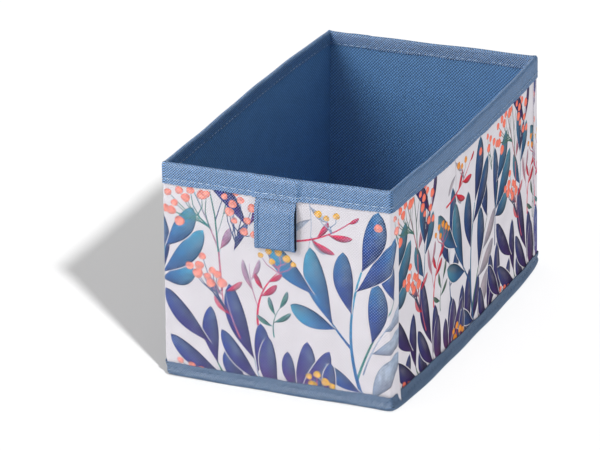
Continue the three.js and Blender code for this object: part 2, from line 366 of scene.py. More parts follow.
def span(tree, value, low, high, to_low, to_high):
    """value, taken from low..high to to_low..to_high."""
    inputs = {0: value, 1: low, 2: high, 3: to_low, 4: to_high}
    return add_node(tree, "ShaderNodeMapRange", inputs).outputs[0]


def wire(tree, shader, base, roughness, strength, depth, height, **under):
    """Links a colour, a roughness and a bump to the shader."""
    tree.links.new(base, shader.inputs["Base Color"])
    tree.links.new(roughness, shader.inputs["Roughness"])
    inputs = {"Strength": strength, "Distance": depth, "Height": height, **under}
    tree.links.new(add_node(tree, "ShaderNodeBump", inputs).outputs[0], shader.inputs["Normal"])


GROUND = (0.66, 0.635, 0.68)  # the printed cloth where it is bare
THIN_INK, MISSED_INK = (0.42, 0.55, 0.70), (0.46, 0.54, 0.90)  # what shows through ink that took badly


def printed_base(tree, place, quilt):
    """The print, whose ink pools and thins and takes badly on the ribs. Its alpha says where there is ink."""
    painted = add_node(tree, "ShaderNodeAttribute", attribute_name="ink")
    inked = painted.outputs["Alpha"]
    pooled = span(tree, noise(tree, place, 2.2 * MM, 4.0), 0.3, 0.7, 0.58, 1.30)
    wash = mix(tree, "MULTIPLY", inked, painted.outputs["Color"], pooled)
    thin = span(tree, noise(tree, place, 6 * MM, 3.0), 0.50, 0.74, 0.0, 0.14)
    wash = mix(tree, "MIX", times(tree, thin, inked), wash, THIN_INK)
    missed = span(tree, quilt, 0.12, 0.55, 0.0, 0.42)
    return mix(tree, "MIX", times(tree, missed, inked), wash, MISSED_INK)


def plain_base(tree, colour):
    """One colour, with the cloth's dark wrong side on faces that have the attribute "reverse"."""
    wrong_side = add_node(tree, "ShaderNodeAttribute", attribute_name="reverse").outputs["Fac"]
    return mix(tree, "MIX", wrong_side, colour, tuple(c * 0.06 for c in colour))


def cloth_material(name, colour, pitch, depth, roughness, gloss, fleck, bias, crumple=0.0):
    """Bonded or woven cloth, of one colour or, with none, printed.

    pitch, depth and bias are those of its pressed lattice, fleck is how much the lattice shows in its
    colour, and crumple is the depth of its creases.
    """
    material, tree, shader = new_material(name)
    place = add_node(tree, "ShaderNodeUVMap", uv_map="cloth").outputs[0]
    quilt = lattice(tree, place, pitch, bias)
    fibres = noise(tree, place, 0.35 * MM, 3.0)
    base = plain_base(tree, colour) if colour else printed_base(tree, place, quilt)
    shade = span(tree, quilt, -0.42, 0.42, 1 - fleck, 1 + fleck)
    grain = span(tree, noise(tree, place, 1.6 * MM), 0.3, 0.7, 1 - fleck * 0.2, 1 + fleck * 0.2)
    cloudy = span(tree, noise(tree, place, 14 * MM, 3.0), 0.25, 0.75, 0.94, 1.05)
    hairy = span(tree, fibres, 0.2, 0.8, 0.93, 1.07)
    for layer in (grain, cloudy, hairy):
        shade = times(tree, shade, layer)
    dull = span(tree, fibres, 0.2, 0.8, roughness - 0.08, roughness + 0.08)
    height = maths(tree, "ADD", quilt, times(tree, fibres, 0.5))
    folds = {"Strength": 1.0, "Distance": crumple, "Height": noise(tree, place, 3.2 * MM)}
    creased = add_node(tree, "ShaderNodeBump", folds).outputs[0]
    wire(tree, shader, mix(tree, "MULTIPLY", 1.0, base, shade), dull, 1.0, depth, height, Normal=creased)
    shader.inputs["Specular IOR Level"].default_value = gloss
    return material


def thread_material(name, colour):
    """Twisted thread, with its ply running across it at a slant."""
    material, tree, shader = new_material(name)
    place = add_node(tree, "ShaderNodeUVMap", uv_map="cloth").outputs[0]
    ply = lattice(tree, place, 0.5 * MM)
    faded = span(tree, noise(tree, place, 3 * MM), 0.3, 0.7, 0.9, 1.1)
    shade = times(tree, span(tree, ply, -1, 1, 0.75, 1.1), faded)
    base = mix(tree, "MULTIPLY", 1.0, colour, shade)
    wire(tree, shader, base, span(tree, ply, -1, 1, 0.6, 0.45), 0.6, 0.05 * MM, ply)
    shader.inputs["Sheen Weight"].default_value = 0.2
    return material


def board_material():
    """Greyboard: pressed pulp with darker fibres and soft blotches."""
    material, tree, shader = new_material("greyboard")
    place = add_node(tree, "ShaderNodeTexCoord").outputs["Object"]
    pulp = noise(tree, place, 1.2 * MM, 5.0)
    fibre = mix(tree, "MIX", span(tree, pulp, 0.35, 0.6, 0, 1), (0.25, 0.19, 0.13), (0.46, 0.37, 0.26))
    base = mix(tree, "MULTIPLY", 0.3, fibre, noise(tree, place, 18 * MM))
    wire(tree, shader, base, span(tree, pulp, 0.3, 0.7, 0.95, 0.8), 0.5, 0.1 * MM, pulp)
    return material


# Each cloth's pitch, depth, roughness, gloss, fleck, bias and crumple.
LINING_BLUE, TAPE_BLUE, FOOT_BLUE = (0.098, 0.238, 0.462), (0.074, 0.178, 0.362), (0.066, 0.130, 0.240)
print_cloth = cloth_material("printed_fabric", None, 1.28 * MM, 0.06 * MM, 0.8, 0.03, 0.07, 0.5)
lining_cloth = cloth_material("lining_fabric", LINING_BLUE, 1.42 * MM, 0.16 * MM, 0.75, 0.2, 0.40, 0.56)
tape_cloth = cloth_material("binding_tape", TAPE_BLUE, 1.14 * MM, 0.14 * MM, 0.50, 0.42, 0.85, 0.55, 0.5 * MM)
foot_cloth = cloth_material("foot_tape", FOOT_BLUE, 1.14 * MM, 0.12 * MM, 0.55, 0.38, 0.90, 0.5, 1.0 * MM)
greyboard = board_material()
thread_colours = {
    "pale_thread": (0.42, 0.58, 0.78),
    "blue_thread": (0.20, 0.32, 0.52),
    "grey_thread": (0.17, 0.20, 0.30),
}
threads = {name: thread_material(name, colour) for name, colour in thread_colours.items()}


def finish_piece(obj, body, node):
    """Puts a piece on its body, in place of its CAD node."""
    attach(obj, body)
    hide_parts(node)
    return obj


# ---- The print: watercolour sprigs, twigs and berries on one repeat of the cloth, drawn in millimetres ----

# Linear colours from the foot of a leaf to its tip.
INKS = {
    "blue": [(0.012, 0.022, 0.16), (0.010, 0.060, 0.25), (0.020, 0.160, 0.34)],
    "teal": [(0.016, 0.070, 0.26), (0.022, 0.170, 0.36), (0.060, 0.34, 0.48)],
    "indigo": [(0.036, 0.007, 0.115), (0.022, 0.012, 0.150), (0.014, 0.055, 0.255)],
    "purple": [(0.19, 0.050, 0.20), (0.048, 0.020, 0.155), (0.030, 0.048, 0.22)],
    "crimson": [(0.62, 0.020, 0.05), (0.66, 0.015, 0.055), (0.54, 0.06, 0.11)],
    "mauve": [(0.54, 0.15, 0.24), (0.38, 0.13, 0.25), (0.48, 0.30, 0.42)],
    "green": [(0.035, 0.22, 0.19), (0.05, 0.19, 0.12), (0.15, 0.28, 0.25)],
    "mist": [(0.12, 0.20, 0.33), (0.36, 0.43, 0.52), (0.22, 0.32, 0.44)],
    "coral": [(0.90, 0.225, 0.14), (0.92, 0.28, 0.18), (0.90, 0.225, 0.14)],
    "gold": [(0.70, 0.34, 0.01), (0.80, 0.43, 0.02), (0.70, 0.34, 0.01)],
    "rose": [(0.56, 0.11, 0.14), (0.46, 0.22, 0.28), (0.20, 0.36, 0.40)],
    "ash": [(0.03, 0.04, 0.11), (0.045, 0.075, 0.16), (0.10, 0.16, 0.25)],
}
REPEAT = 158.0  # width of one repeat
LEAF_GLOW, BERRY_GLOW = np.array([0.45, 0.62, 0.76]), np.array([0.9, 0.62, 0.5])


def blend_inks(ink, t):
    """A named ink at shares t of the way along it."""
    stops = np.array(INKS[ink])
    return np.stack([np.interp(t, [0, 0.5, 1], stops[:, c]) for c in range(3)], -1)


def motif(outline, paint, lines=(), cover=1.0, wet=1.0):
    """A painted shape: its outline and inner lines, its colours, how much it hides, and 1 if it is ink."""
    return {"outline": outline, "paint": paint, "lines": lines, "cover": cover, "wet": wet}


def leaf(foot, angle, length, width, ink, curve=0.06, cover=1.0):
    """A leaf with a narrow foot and a round tip, darker along its edge and lighter on one side of its rib."""
    foot = np.array(foot, float)
    ahead = np.array([math.cos(math.radians(angle)), math.sin(math.radians(angle))])
    left = np.array([-ahead[1], ahead[0]])
    widest = 0.58

    def half_width(t):
        toward_foot = np.sin(math.pi / 2 * ramp(t, widest)) ** 1.15
        toward_tip = (1 - ramp(t - widest, 1 - widest) ** 2) ** 0.66
        return width / 2 * toward_foot * toward_tip

    def bend(t):
        return curve * length * 4 * t * (1 - t)

    def at(t, v):
        return foot + np.outer(t * length, ahead) + np.outer(bend(t) + v * half_width(t), left)

    def paint(points):
        t = (points - foot) @ ahead / length
        v = ((points - foot) @ left - bend(t)) / np.maximum(half_width(t), 0.2)
        lit = 0.84 + 0.28 * np.clip(v * 6, -1, 1) - 0.50 * ramp(np.abs(v)) ** 6
        glow = (0.40 * hill(v + 0.34, 0.34) * ramp(1.9 * t - 0.7) * (1 - t**5))[..., None]
        return blend_inks(ink, t) * lit[..., None] * (1 - glow) + LEAF_GLOW * glow

    t = np.linspace(0, 1, 15)
    inner = np.linspace(0.06, 0.94, 9)
    lines = [at(inner, v) for v in (0.0, 0.78, -0.78)]
    return motif(np.vstack([at(t, 1), at(t[::-1], -1)[1:-1]]), paint, lines, cover)


def clearing(shape, width=0.45):
    """The bare cloth a painter leaves round a leaf that lies over others."""
    outline = shape["outline"]
    along = outline[len(outline) // 2] - outline[0]
    side = np.array([-along[1], along[0]]) / np.linalg.norm(along)
    grown = outline + np.outer(np.sign((outline - outline.mean(axis=0)) @ side), side) * width
    return motif(grown, lambda points: np.tile(GROUND, (len(points), 1)), wet=0.0)


def stem(points, wide, narrow, ink, cover=1.0):
    """A stem that tapers along a path."""
    points = np.array(points, float)
    ways = np.gradient(points, axis=0)
    ways /= np.linalg.norm(ways, axis=1)[:, None]
    side = np.column_stack([-ways[:, 1], ways[:, 0]]) * np.linspace(wide, narrow, len(points))[:, None] / 2
    along = points[-1] - points[0]

    def paint(where):
        return blend_inks(ink, (where - points[0]) @ along / (along @ along))

    return motif(np.vstack([points + side, (points - side)[::-1]]), paint, cover=cover)


def berry(centre, radius, ink):
    """A round berry with a paler patch."""
    turn = np.linspace(0, 2 * math.pi, 15)[:-1]
    wobble = 1 + 0.07 * np.sin(3 * turn + centre[0])
    ring = np.column_stack([np.cos(turn) * wobble, np.sin(turn) * 0.94 * wobble])

    def paint(points):
        away = ramp(np.linalg.norm(points - centre, axis=-1), radius)[..., None]
        worn = ramp(0.30 - 0.35 * np.linalg.norm(points - centre + 0.4 * radius, axis=-1) / radius)[..., None]
        shade = blend_inks(ink, np.full(len(points), 0.5)) * (1.05 - 0.28 * away**3)
        return shade * (1 - worn) + BERRY_GLOW * worn

    inner = centre + ring * radius * 0.6
    return motif(centre + ring * radius, paint, [np.vstack([inner, inner[:1]])])


def spray(start, end, bow, leaves, ink, stalk, wide=1.5, cover=1.0):
    """A bent stem with leaves, each as its share of the way up the stem, its angle, length and width."""
    start, end = np.array(start, float), np.array(end, float)
    along = end - start
    t = np.linspace(0, 1, 12)
    path = start + np.outer(t, along) + np.outer(4 * t * (1 - t) * bow, (-along[1], along[0]))
    made = [stem(path, wide, wide * 0.45, stalk, cover)]
    for share, angle, length, width in leaves:
        foot = np.interp(share, t, path[:, 0]), np.interp(share, t, path[:, 1])
        shape = leaf(foot, angle, length, width, ink, 0.06 if angle > 88 else -0.06, cover)
        made += [clearing(shape), shape] if width > 7 and cover == 1 else [shape]
    return made


def berries(foot, spots, radius, ink, stalk="ash"):
    """Berries on thin stalks, which leave a short stem one after another."""
    foot = np.array(foot, float)
    rise = (np.mean(spots, axis=0) - foot) * 0.45
    made = [stem([foot, foot + rise * 0.5 + (0.5, 0.0), foot + rise], 1.1, 0.6, stalk)]
    for i, spot in enumerate(np.array(spots, float)):
        start = foot + rise * (0.1, 0.75, 0.4, 1.0)[i % 4]
        middle = (start + spot) / 2 + (1.6 if spot[0] > start[0] else -1.6, -0.6)
        made.append(stem([start, middle, spot], 0.7, 0.45, stalk))
    return made + [berry(p, radius * (0.82 + 0.11 * (i % 4)), ink) for i, p in enumerate(spots)]


def pale_motifs():
    """Thin washes behind everything else."""
    m = spray((126, 19), (145, 56), 0.05, [(0.35, 31, 30, 9.5), (0.75, 42, 28, 8.5)], "mist", "mist", 1, 0.85)
    m += [leaf((131, 4), 53, 36, 12.5, "mist", 0.06, 0.85)]
    thin = [(0.35, -38, 14, 3.6), (0.55, -140, 15, 3.6), (0.8, -50, 14, 3.2)]
    m += spray((90, 132), (93, 92), 0.08, thin, "mist", "mist", 0.8, 0.7)
    m += spray((41, 50), (39, 84), 0.03, [(1.0, 66, 15, 5), (0.15, 128, 15, 4.4)], "mauve", "rose", 1.0, 0.9)
    pair = [(0.3, -60, 13, 3.2), (0.65, 60, 13, 3.2)]
    m += spray((44, 132), (37, 92), 0.05, pair, "green", "green", 0.8, 0.85)
    pair = [(0.35, 108, 20, 3.6), (0.6, 68, 15, 3.2)]
    return m + spray((62, 52), (57, 78), 0.05, pair, "mauve", "mauve", 0.8, 0.8)


def leaf_motifs():
    """The big leaves: blue sprigs on the right and at the left edge, and indigo fans along the foot."""
    m = [leaf((2, 62), 91, 42, 9, "blue", -0.04)]
    left_edge = [(0.46, 20, 23, 12), (0.55, 49, 40, 12.5), (0.97, 56, 32, 12)]
    m += spray((2, 42), (5, 82), 0.03, left_edge, "teal", "teal", 1.2)
    m += [leaf((56, 100), 131, 42, 9.5, "indigo", -0.05), leaf((57, 101), 72, 26, 5, "purple", -0.06)]
    m += [leaf((47.5, 84), 64, 20, 4.2, "indigo", 0.03)]
    m += spray((28, -8), (22, 2), 0, [(0.4, 150, 22, 8)], "indigo", "indigo", 1.0)
    fan = [(0.30, 146, 42, 10.5), (0.62, 97, 36, 10), (1.0, 133, 42, 11)]
    m += spray((48, -6), (33, 24), 0.06, fan, "indigo", "green", 1.5)
    m += spray((52, -9), (52, 2), 0, [(0.2, 101, 33, 10.5), (0.6, 116, 25, 7)], "indigo", "indigo", 1.2)
    fan = [(0.45, 129, 38, 10), (0.7, 86, 31, 9.5), (1.0, 109, 48, 12)]
    m += spray((68, -6), (60, 18), 0.05, fan, "indigo", "mist", 1.5)
    m += spray((73, -9), (73, 2), 0, [(0.3, 97, 40, 11)], "purple", "purple", 1.2)
    fan = [(0.2, 79, 42, 11.5), (0.5, 58, 40, 10.5), (0.9, 101, 26, 8)]
    m += spray((84, -9), (85, 2), 0, fan, "purple", "purple", 1.2)
    m += spray((122, 14), (147, 67), 0.04, [(0.45, 86, 38, 12), (0.97, 101, 28, 11)], "blue", "green", 1.6)
    left_arm = [(0.38, 158, 30, 11), (0.46, 107, 48, 13), (1.0, 134, 42, 12)]
    m += spray((119, 34), (97, 64), 0.03, left_arm, "teal", "teal", 1.6)
    main = [(0.16, 147, 26, 8.5), (0.70, 98, 38, 12), (0.86, 52, 43, 12), (1.0, 75, 39, 13.5)]
    m += spray((130, -6), (125, 82), 0.10, main, "blue", "teal", 2.4)
    return m + spray((108, -9), (107, 0), 0, [(0.3, 118, 22, 7.5), (0.7, 92, 26, 8)], "indigo", "mist", 1.0)


def twig_motifs():
    """Crimson and green twigs."""
    middle = [(0.5, 40, 13, 4), (0.62, 118, 11, 3.2), (0.8, 36, 10, 3)]
    m = spray((62, 40), (74, 74), 0.12, middle, "crimson", "crimson", 1.5)
    right = [(0.36, -28, 16, 4.0), (0.44, 56, 13, 3.4), (0.62, -3, 15, 4.2), (0.97, 34, 8, 2.4)]
    m += spray((80, 95), (118, 111), -0.08, right, "crimson", "crimson", 1.4)
    left = [(0.5, 134, 15, 4.4), (1.0, 36, 13, 3.6)]
    m += spray((51, 30), (42, 58), 0.04, left, "crimson", "rose", 1.1, 0.85)
    sprig = [(0.35, 150, 12, 3.0), (0.5, 34, 13, 3.2), (0.75, 110, 12, 3.0), (1.0, 66, 13, 3.2)]
    return m + spray((72, 34), (75, 52), 0.10, sprig, "green", "green", 0.9)


def berry_motifs():
    """Umbels of berries, and the stems that carry them."""
    m = [stem([(40, 58), (38, 84), (31, 101), (23, 118)], 1.3, 0.9, "rose")]
    m += [stem([(38, 82), (36, 104), (33, 119)], 1.1, 0.8, "green")]
    m += [stem([(36.5, 102), (41, 116)], 0.7, 0.5, "ash")]
    spots = [(7, 115), (14, 117), (18, 113), (28, 116), (11, 109), (5, 105), (9, 104), (14, 98), (31, 117)]
    m += berries((33, 96), spots + [(21, 118)], 2.8, "coral", "green")
    spots = [(42, 117), (52, 116), (47, 113), (45, 108), (48, 103), (56, 104), (54, 97), (59, 112), (49, 120)]
    m += berries((49, 87), spots + [(60, 96)], 2.5, "coral")
    spots = [(28, 78), (20, 71), (26, 72), (25, 67), (34, 70), (37, 68), (33, 62), (40, 63), (31, 66)]
    m += berries((42, 46), spots, 2.8, "coral")
    m += berries((75, 74), [(64, 84), (69, 87), (75, 87), (80, 84), (84, 81), (71, 81)], 2.2, "gold", "mauve")
    m += berries((107, 103), [(104, 112), (110, 114), (99, 114)], 2.3, "gold", "mist")
    spots = [(93, 13), (98, 15), (103, 11), (95, 8), (107, 9), (101, 5)]
    m += berries((101, -4), spots, 2.5, "gold", "crimson")
    m += [berry((135, 110), 2.6, "coral")]
    m += berries((154, 92), [(147, 115), (152, 112), (158, 108), (149, 107)], 2.4, "coral", "green")
    return m + berries((34, -4), [(13, 10), (20, 8), (26, 6), (31, 5)], 2.5, "coral")


def filler_motifs():
    """More leaves, lower down, on the part of the cloth that the long sides are cut from."""
    fan = [(0.2, 118, 34, 9.5), (0.5, 92, 46, 11), (0.9, 66, 34, 10)]
    m = spray((118, -9), (118, 5), 0, fan, "indigo", "indigo", 1.3)
    fan = [(0.2, 112, 34, 9.5), (0.5, 84, 42, 11), (0.9, 60, 34, 10)]
    m += spray((147, -9), (148, 5), 0, fan, "indigo", "indigo", 1.3)
    m += spray((96, -9), (96, 6), 0, [(0.3, 100, 42, 10.5), (0.8, 74, 36, 10)], "indigo", "purple", 1.3)
    fan = [(0.2, 62, 34, 10), (0.5, 98, 44, 11), (0.9, 128, 34, 10)]
    m += spray((12, -9), (12, 8), 0, fan, "indigo", "indigo", 1.3)
    upper = [(0.4, 60, 28, 9), (0.8, 114, 28, 9), (1.0, 84, 38, 10)]
    m += spray((90, 28), (86, 66), 0.05, upper, "blue", "teal", 1.4)
    upper = [(0.4, 118, 26, 8.5), (0.8, 62, 26, 8.5), (1.0, 92, 34, 9)]
    return m + spray((44, 52), (48, 84), -0.05, upper, "teal", "teal", 1.4)


def skin_lift(s, z, start, end):
    """How far a short panel's end stands off where it lies over the next panel, away from the bound edges."""
    over = ramp(LAP + 0.2 * MM - np.minimum(s - start, end - s), 0.6 * MM)
    return LAP_STAND * over * cuff(z, BOTTOM_HIGH + 0.5 * MM, TOP_LOW - 1 * MM, 5 * MM)


def crease(s):
    """A shallow groove in the skin along the edge stitching of the short walls."""
    seams = corner_seams("front") + corner_seams("back")
    return 0.16 * MM * sum(hill(s - seam, 0.7 * MM) for seam in seams)


def upright_lines(start, end):
    """Places along the outline where the skin turns a corner."""
    rows = [np.linspace(STARTS[i % 8], STARTS[i % 8 + 1], 7) + i // 8 * AROUND for i in range(-1, 8, 2)]
    return [r for r in np.concatenate(rows) if start + 0.2 * MM < r < end - 0.2 * MM]


def inside(points, outline):
    """Which points lie inside an outline."""
    x, y = points[:, 0], points[:, 1]
    found = np.zeros(len(points), bool)
    for (ax, ay), (bx, by) in zip(outline, np.roll(outline, -1, axis=0)):
        crosses = (ay > y) != (by > y)
        if crosses.any():
            found ^= crosses & (x < (bx - ax) * (y - ay) / (by - ay + 1e-15) + ax)
    return found


def motifs_across(start, end, phase, motifs):
    """The motifs that touch a panel, each with its shift from the repeat to the cloth, in metres."""
    shown = []
    for turn in range(-2, 4):
        shift = np.array([(turn * REPEAT - phase) * MM + start, 0])
        for shape in motifs:
            across = shape["outline"][:, 0] * MM + shift[0]
            if across.max() > start and across.min() < end:
                shown.append((shape, shift))
    return shown


def cut_cloth(start, end, low, high, shown):
    """Triangles over a panel that meet along every motif's outline and along its upright folds."""
    verts, edges = [], []

    def add_line(points, closed=False):
        first = len(verts)
        verts.extend((float(x), float(z)) for x, z in points)
        edges.extend((i, i + 1) for i in range(first, len(verts) - 1))
        if closed:
            edges.append((len(verts) - 1, first))

    heights = even(low, high, 6 * MM)
    add_line([(start, low), (end, low), (end, high), (start, high)], closed=True)
    for line in upright_lines(start, end):
        add_line([(line, z) for z in heights])
    for s in even(start, end, 3 * MM)[1:-1]:
        verts.extend((s, z) for z in heights[1:-1])
    for shape, shift in shown:
        add_line(shape["outline"] * MM + shift, closed=True)
        for line in shape["lines"]:
            add_line(line * MM + shift)
    cut = delaunay_2d_cdt([Vector(v) * PER_METRE for v in verts], edges, [], 0, 1e-5, False)
    spots = np.array([tuple(v) for v in cut[0]]) / PER_METRE
    triangles = np.array(cut[2])
    middles = spots[triangles].mean(axis=1)
    on = (middles[:, 0] > start) & (middles[:, 0] < end) & (middles[:, 1] > low) & (middles[:, 1] < high)
    used, corners = np.unique(triangles[on], return_inverse=True)
    return spots[used], corners.reshape(-1, 3)


def paint_cloth(where, shown, tint):
    """Red, green, blue and the share of ink for each corner of each triangle."""
    tint = np.array(tint)
    middles = where.mean(axis=1)
    colour = np.empty((len(where), 3, 4))
    colour[:] = (*GROUND, 0)
    for shape, shift in shown:
        outline = shape["outline"] * MM + shift
        near = np.all((middles > outline.min(axis=0)) & (middles < outline.max(axis=0)), axis=1).nonzero()[0]
        rows = near[inside(middles[near], outline)]
        ink = shape["paint"](((where[rows] - shift) / MM).reshape(-1, 2)).reshape(-1, 3, 3)
        if shape["wet"]:
            ink = ink * tint + 0.015 * (1 - tint[::-1])
        cover = shape["cover"]
        colour[rows, :, :3] = colour[rows, :, :3] * (1 - cover) + ink * cover
        colour[rows, :, 3] = colour[rows, :, 3] * (1 - cover) + cover * shape["wet"]
    return colour


def printed_panel(name, start, end, phase, motifs, laps, strength, tint):
    """One panel of the skin as a thin closed shell, cut along every motif to give the print clean edges."""
    shown = motifs_across(start, end, phase, motifs)
    spots, corners = cut_cloth(start, end, CLOTH_LOW, CLOTH_TOP, shown)
    colour = paint_cloth(spots[corners], shown, tint)
    colour[..., 3] *= strength
    s, z = spots[:, 0], spots[:, 1]
    out = skin_lift(s, z, start, end) * laps - crease(s)
    points = np.vstack([wall(s, -out, z), wall(s, CLOTH - out, z)])
    n = len(spots)
    faces, rim = two_sided(corners, n)
    faces += [(b, a, a + n, b + n) for a, b in rim]
    uv = [tuple(spots[i % n]) for f in faces for i in f]
    plain = np.tile([*GROUND, 0], (3 * len(corners) + 4 * len(rim), 1))
    made = mesh_object(name, points, faces, print_cloth, uv, np.vstack([colour.reshape(-1, 4), plain]))
    return sharpen(face_out(made), 50)


WRAP = 8 * MM  # how far a short panel goes round each corner
LAP = 3.0 * MM  # and how much of the long panel lies under it
LAP_STAND = CLOTH + 0.08 * MM
seam_front_left = start_of("front") - ARC - WRAP
seam_front_right = end_of("front") + ARC + WRAP
seam_back_right = start_of("back") - ARC - WRAP
seam_back_left = end_of("back") + ARC + WRAP

pale = pale_motifs()
bold = leaf_motifs() + twig_motifs() + berry_motifs()
dense = pale + filler_motifs() + bold
# The long walls' print is deeper in colour, and its ink hides more of the cloth.
short_look = {"motifs": pale + bold, "laps": 1, "strength": 1.0, "tint": (1.0, 1.0, 1.0)}
long_look = {"motifs": dense, "laps": 0, "strength": 0.2, "tint": (0.92, 0.60, 0.56)}
panels = {
    "front": (seam_front_left, seam_front_right, -5.0, short_look),
    "right": (seam_front_right - LAP, seam_back_right + LAP, 8.0, long_look),
    "back": (seam_back_right, seam_back_left, 60.0, short_look),
    "left": (seam_back_left - LAP, seam_front_left + AROUND + LAP, 100.0, long_look),
}
for side, (start, end, phase, look) in panels.items():
    skin = printed_panel(f"skin_{side}", start, end, phase, **look)
    finish_piece(skin, "bin", f"outer_{side}")

# ---- Boards, linings and base ----


def board_section(s):
    up = even(JOG_HIGH + 0.5 * MM, CLOTH_TOP - 0.3 * MM, 5 * MM)
    return [(BOARD_FACE, z) for z in up] + [(BOARD_FACE + BOARD, z) for z in up[::-1]]


def lining_bulge(s, z):
    """The lining hangs a little off its board between the seams, in soft vertical waves."""
    loose = cuff(z, 14 * MM, TOP_LOW, 20 * MM) * cuff(z, 0, HEIGHT, 1 * MM)
    return 0.55 * MM * loose * ramp(0.5 + 0.5 * ripple(s, z, 34 * MM, 5))


def lining_section(start, end):
    up = even(JOG_HIGH, CLOTH_TOP, 4 * MM)

    def section(s):
        bulge = lining_bulge(s, up) * min(1, min(s - start, end - s) / (12 * MM))
        back = np.column_stack([LINING_FACE + bulge, up])
        face = np.column_stack([INSIDE + bulge, up])
        seam = [(BOARD_FACE, CLOTH_LOW), (BOARD_FACE, JOG_HIGH)]
        step = [(INSIDE, JOG_LOW), (BOARD_FACE + CLOTH, JOG_LOW), (BOARD_FACE + CLOTH, CLOTH_LOW)]
        return np.vstack([seam, back, face[::-1], step])

    return section


for side in SIDES:
    start, end = start_of(side) + 0.1 * MM, end_of(side) - 0.1 * MM
    board = sweep(f"stiffener_{side}", even(start, end, 6 * MM), board_section, greyboard, closed=False)
    finish_piece(board, "bin", f"board_{side}")
    over = ARC + 0.1 * MM if side in ("right", "left") else -0.15 * MM
    start, end = start_of(side) - over, end_of(side) + over
    rows = even(start, end, 3 * MM)
    if over > 0:
        turn = np.linspace(0, ARC, 7)
        rows = np.sort(np.concatenate([rows[2:-2], start + turn, end - turn]))
    lining = sweep(f"inner_cloth_{side}", rows, lining_section(start, end), lining_cloth, closed=False)
    finish_piece(lining, "bin", f"lining_{side}")


def add_hem(points, rim, outline, hem):
    """Turns a plate's edge down. hem has rows for the ends of its outer and inner face and its inner bend."""
    n = len(points) // 2
    ring = sorted({a for a, _ in rim})
    nearest = [int(np.argmin(np.linalg.norm(outline - points[a, :2], axis=1))) for a in ring]
    outer = {a: 2 * n + i for i, a in enumerate(ring)}
    inner = {a: outer[a] + len(ring) for a in ring}
    points[[a + n for a in ring], :2] = hem[2][nearest]
    faces = [(b, a, outer[a], outer[b]) for a, b in rim]
    faces += [(outer[b], outer[a], inner[a], inner[b]) for a, b in rim]
    faces += [(inner[b], inner[a], a + n, b + n) for a, b in rim]
    return np.vstack([points, hem[0][nearest], hem[1][nearest]]), faces


def plate(name, outline, low, high, material, spacing, lift, hem=None):
    """A thin flat panel inside an outline, on a grid so that it can be uneven."""
    verts = [Vector(p * PER_METRE) for p in outline]
    reach = np.abs(outline).max(axis=0) - spacing * 0.6
    for x in even(-reach[0], reach[0], spacing):
        verts += [Vector((x * PER_METRE, y * PER_METRE)) for y in even(-reach[1], reach[1], spacing)]
    cut = delaunay_2d_cdt(verts, [], [list(range(len(outline)))], 1, 1e-5, True)
    flat = np.array([tuple(v) for v in cut[0]]) / PER_METRE
    n = len(flat)
    points = np.vstack([np.column_stack([flat, level + lift(flat)]) for level in (high, low)])
    faces, rim = two_sided(np.array(cut[2]), n)
    if hem:
        points, edge = add_hem(points, rim, outline, hem)
    else:
        edge = [(b, a, a + n, b + n) for a, b in rim]
    faces += edge
    uv = [tuple(points[i][:2]) for f in faces for i in f]
    return sharpen(face_out(mesh_object(name, points, faces, material, uv)), 50)


def rounded(width, depth, radius):
    """A rounded rectangle, anticlockwise."""
    corners = []
    for i, (x, y) in enumerate(((1, 1), (-1, 1), (-1, -1), (1, -1))):
        centre = np.array([x * (width / 2 - radius), y * (depth / 2 - radius)])
        a = np.linspace(0, math.pi / 2, 7) + i * math.pi / 2
        corners.append(centre + radius * np.column_stack([np.cos(a), np.sin(a)]))
    return np.vstack(corners)


def base_sag(flat):
    return 0.12 * MM * ripple(flat[:, 0], flat[:, 1], 30 * MM, 3) - 0.12 * MM


rows = around(5 * MM, 4)
outline, bend = plan(rows, HEM_FACE)[0], plan(rows, HEM_FACE + CLOTH)[0]
hem = wall(rows, HEM_FACE, CLOTH_LOW), wall(rows, HEM_FACE + CLOTH, CLOTH_LOW), bend
base = plate("base_cloth", outline, BASE_TOP - CLOTH, BASE_TOP, lining_cloth, 6 * MM, base_sag, hem)
finish_piece(base, "bin", "base_panel")

# ---- Bound edges ----

SWELL = CLOTH * 2 + 2 * GAP + 0.08 * MM  # how far the tab's root pushes the top tape out
STITCH, FINE_STITCH = 5.0 * MM, 4.2 * MM  # pitches of the stitch lines
TOP_STITCH = TOP_LOW + 3 * MM
BOTTOM_STITCH = 4.6 * MM
JOIN_TOP = (start_of("back") + end_of("back")) / 2 + 41 * MM
JOIN_BOTTOM = end_of("front") + 0.6 * ARC


def nothing(s):
    return 0.0


def swell_at(s):
    """1 where the top tape lies over the tab's root, easing to 0 beside it."""
    return 1 - ease((abs(s - TAB_X) - TAB_WIDTH / 2 - 0.2 * MM) / (3.4 * MM))


def join_at(s, join, length, run):
    """1 where the tape's end lies over its start: a sharp edge at join, and an easy one at the other end."""
    along = (s - join) % AROUND
    return ramp(along, 0.25 * MM) * ramp(length + run - along, run)


def pucker(s, pitch):
    """Dips to -1 at the middle of each stitch, and rises to 1 between stitches."""
    return -math.cos(2 * math.pi * s / pitch)


def from_corner(s):
    """How far the nearest corner of the bin is."""
    return min(abs((s - c + AROUND / 2) % AROUND - AROUND / 2) for c in CORNERS)


def top_join(s):
    return join_at(s, JOIN_TOP, 11 * MM, 4 * MM)


def top_outer(s):
    return TAPE_FACE - SWELL * swell_at(s) - 0.9 * CLOTH * top_join(s)


def top_inner(s):
    return TOP_INNER + 0.9 * CLOTH * top_join(s)


def bottom_outer(s):
    return TAPE_FACE - 1.5 * CLOTH * join_at(s, JOIN_BOTTOM - 9 * MM, 9 * MM, 1.2 * MM)


def bottom_inner(s):
    return BOTTOM_INNER


